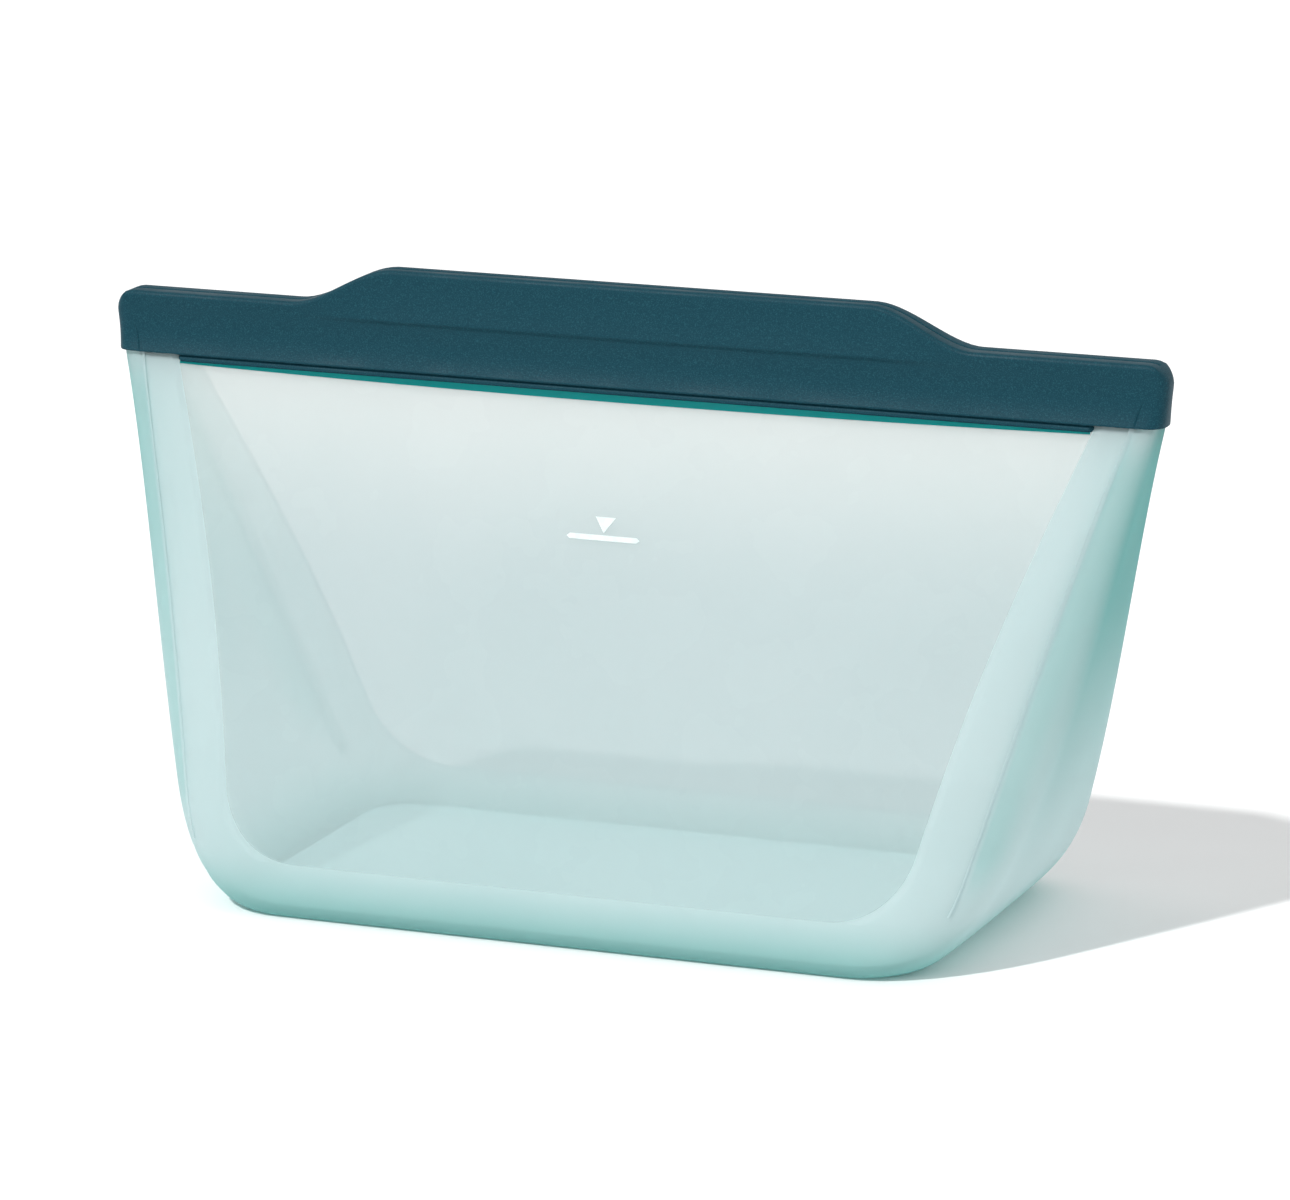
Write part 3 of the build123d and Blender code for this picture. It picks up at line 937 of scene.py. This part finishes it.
def make_cap(side, x_sign):
    """The band's closed end, where both lips are one."""
    foot_round, crown = 0.4, 1.2
    fullness = 0.7  # below 1, the cap is squarer than an ellipse, seen from above
    top = top_along(part_x)
    low, high = SKIRT_LOW, top - crown
    levels = np.concatenate([[low, low + 0.1, low + foot_round], np.linspace(low + 1, high, 14),
                             high + crown * np.sin(np.linspace(0, pi / 2, 8)[1:])])
    sections = []
    for z in levels:
        over = max(z - (top - TOP_ROUND), 0)
        under = max(low + foot_round - z, 0)
        half = lip_face(BLOCK_START, z)
        half -= TOP_ROUND - sqrt(max(TOP_ROUND**2 - over**2, 0))
        half -= foot_round - sqrt(max(foot_round**2 - under**2, 0))
        nose = max(float(band_tip(z) - part_x(z)), 0.03)
        loop = []
        for t in np.linspace(-pi / 2, pi / 2, 25):
            along = abs(cos(t)) ** fullness
            aside = abs(sin(t)) ** fullness * (1 if t > 0 else -1)
            loop.append((float(part_x(z)) + nose * along, half * aside, z))
        sections.append(loop)
    piece = loft(f"{side}_closure_cap", sections, BAND, x_sign)
    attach(piece, f"{side}_end")
    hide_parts(f"{side}_band_end")


def rib_sections(level, low, high, count):
    """Sections of a rib on the front lip's inner face, from one length to another."""
    loop = [(-RIB_ROOT, -RIB_HALF)]
    for t in np.linspace(0.05, pi - 0.05, 9):
        loop.append((RIB_TIP * sin(t) ** 0.7, -RIB_HALF * cos(t)))
    loop.append((-RIB_ROOT, RIB_HALF))
    return [[(x, y, level + z) for y, z in loop] for x in np.linspace(low, high, count)]


def make_ribs():
    """The press-to-close seal's ribs."""
    for tag, level in RIB_LEVELS.items():
        half = float(bend_x(level))
        piece = loft(f"front_{tag}_rib", rib_sections(level, -half, half, 3), BAND)
        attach(piece, "front_wall")
        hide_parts("front_ribs")
        for side, x_sign in SIDES:
            sections = rib_sections(level, half, float(part_x(level)) - 0.5, 16)
            piece = loft(f"front_{side}_{tag}_rib", sections, BAND, x_sign)
            bend_on_crease(piece)
            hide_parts(f"front_{side}_ribs")


# ---- Fill mark ----

MARK_HALF = 0.45  # half thickness of the line
MARK_BACK = -0.05  # the print's back and front, measured outwards from the window
MARK_FRONT = 0.12
POINTER_GAP = 0.9  # from the line's middle up to the pointer's tip
POINTER_HEIGHT = 2.6
POINTER_HALF = (0.05, 1.95)  # half width at the tip and at the top


def on_window(x, z, out):
    """The point of the front window at (x, z), moved outwards by out."""
    outer, inner = skin(np.array([[abs(x)]]), np.array([[z]]))
    normal = outer[0, 0] - inner[0, 0]
    point = outer[0, 0] + normal / np.linalg.norm(normal) * out
    return [point[0] * (1 if x >= 0 else -1), point[1], point[2]]


def make_fill_mark():
    """A level line with a pointer above it, printed on the front window."""
    low, high = node_box("front_fill_mark")
    level = low.z + MARK_HALF
    columns = []
    for x in np.linspace(-high.x, high.x, 25):
        over = max(abs(x) - high.x + MARK_HALF, 0) / MARK_HALF
        half = MARK_HALF * sqrt(max(1 - over**2, 0.004))
        columns.append([on_window(x, level - half, MARK_BACK), on_window(x, level - half, MARK_FRONT),
                        on_window(x, level + half, MARK_FRONT), on_window(x, level + half, MARK_BACK)])
    rows = []
    for share in np.linspace(0, 1, 9):
        z = level + POINTER_GAP + POINTER_HEIGHT * share
        wide = POINTER_HALF[0] + (POINTER_HALF[1] - POINTER_HALF[0]) * share
        rows.append([on_window(-wide, z, MARK_BACK), on_window(-wide, z, MARK_FRONT),
                     on_window(wide, z, MARK_FRONT), on_window(wide, z, MARK_BACK)])
    for piece in (loft("fill_mark_line", columns, PRINT), loft("fill_mark_pointer", rows, PRINT)):
        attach(piece, "front_wall")
        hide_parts("front_fill_mark")


# ---- The bag ----

for wall, y_sign in WALLS:
    make_window_middle(wall, y_sign)
    for side, x_sign in SIDES:
        make_window_wing(wall, side, x_sign, y_sign)
        make_frame(wall, side, x_sign, y_sign)
        make_fold(wall, side, x_sign, y_sign)
        make_lip_arm(wall, side, x_sign, y_sign)
        make_knuckle(wall, side, x_sign, y_sign)
    make_lip_middle(wall, y_sign)
    make_bond(wall, y_sign)
for side, x_sign in SIDES:
    make_gusset(side, x_sign)
    make_cap(side, x_sign)
make_ribs()
make_fill_mark()
make_floor()


# ---- Floor, light and camera ----


def make_stage():
    half, drop = 40.0, 0.0002
    corners = [(-half, -half, -drop), (half, -half, -drop), (half, half, -drop), (-half, half, -drop)]
    mesh = bpy.data.meshes.new("studio_floor")
    mesh.from_pydata(corners, [], [(0, 1, 2, 3)])
    floor = bpy.data.objects.new("studio_floor", mesh)
    bpy.context.scene.collection.objects.link(floor)
    material, nodes, links = new_material("studio_floor")
    output = nodes.new("ShaderNodeOutputMaterial")
    paint = nodes.new("ShaderNodeBsdfDiffuse")
    paint.inputs["Color"].default_value = (0.95, 0.95, 0.95, 1)
    links.new(paint.outputs[0], output.inputs["Surface"])
    mesh.materials.append(material)


def make_sky():
    """Soft light from all round, stronger from the right and from behind."""
    world = bpy.data.worlds.new("studio")
    bpy.context.scene.world = world
    world.use_nodes = True
    nodes, links = world.node_tree.nodes, world.node_tree.links
    split = nodes.new("ShaderNodeSeparateXYZ")
    links.new(nodes.new("ShaderNodeTexCoord").outputs["Generated"], split.inputs[0])
    level = nodes.new("ShaderNodeMath")
    level.operation = "MULTIPLY"
    links.new(ramp(nodes, links, split.outputs["X"], -0.9, 0.9, 0.50, 0.72), level.inputs[0])
    links.new(ramp(nodes, links, split.outputs["Y"], -0.9, 0.9, 0.90, 1.30), level.inputs[1])
    links.new(level.outputs[0], nodes["Background"].inputs["Strength"])
    nodes["Background"].inputs["Color"].default_value = (1, 1, 1, 1)


def make_sun(name, towards, energy, spread):
    """A distant light that shines from a direction, over a spread in degrees."""
    light = bpy.data.lights.new(name, "SUN")
    light.energy = energy
    light.angle = radians(spread)
    sun = bpy.data.objects.new(name, light)
    bpy.context.scene.collection.objects.link(sun)
    sun.rotation_euler = Vector(towards).to_track_quat("Z", "Y").to_euler()


def make_camera(azimuth, elevation, distance, target, lens):
    """A camera that looks at target from an azimuth right of the front, in degrees and metres."""
    azimuth, elevation = radians(azimuth), radians(elevation)
    back = Vector((sin(azimuth) * cos(elevation), -cos(azimuth) * cos(elevation), sin(elevation)))
    data = bpy.data.cameras.new("camera")
    data.lens = lens
    data.sensor_width = 36
    camera = bpy.data.objects.new("camera", data)
    bpy.context.scene.collection.objects.link(camera)
    camera.location = Vector(target) + back * distance
    camera.rotation_euler = back.to_track_quat("Z", "Y").to_euler()
    bpy.context.scene.camera = camera


make_stage()
make_sky()
make_sun("key", towards=(-41.1, -89.6, 107), energy=2.25, spread=2.5)
make_sun("side_glow", towards=(-100, 25, 35), energy=0.4, spread=40)
make_camera(azimuth=21.2, elevation=13.4, distance=1.217, target=(0.00265, 0, 0.0556), lens=186.7)
bpy.context.scene.view_settings.view_transform = "Standard"
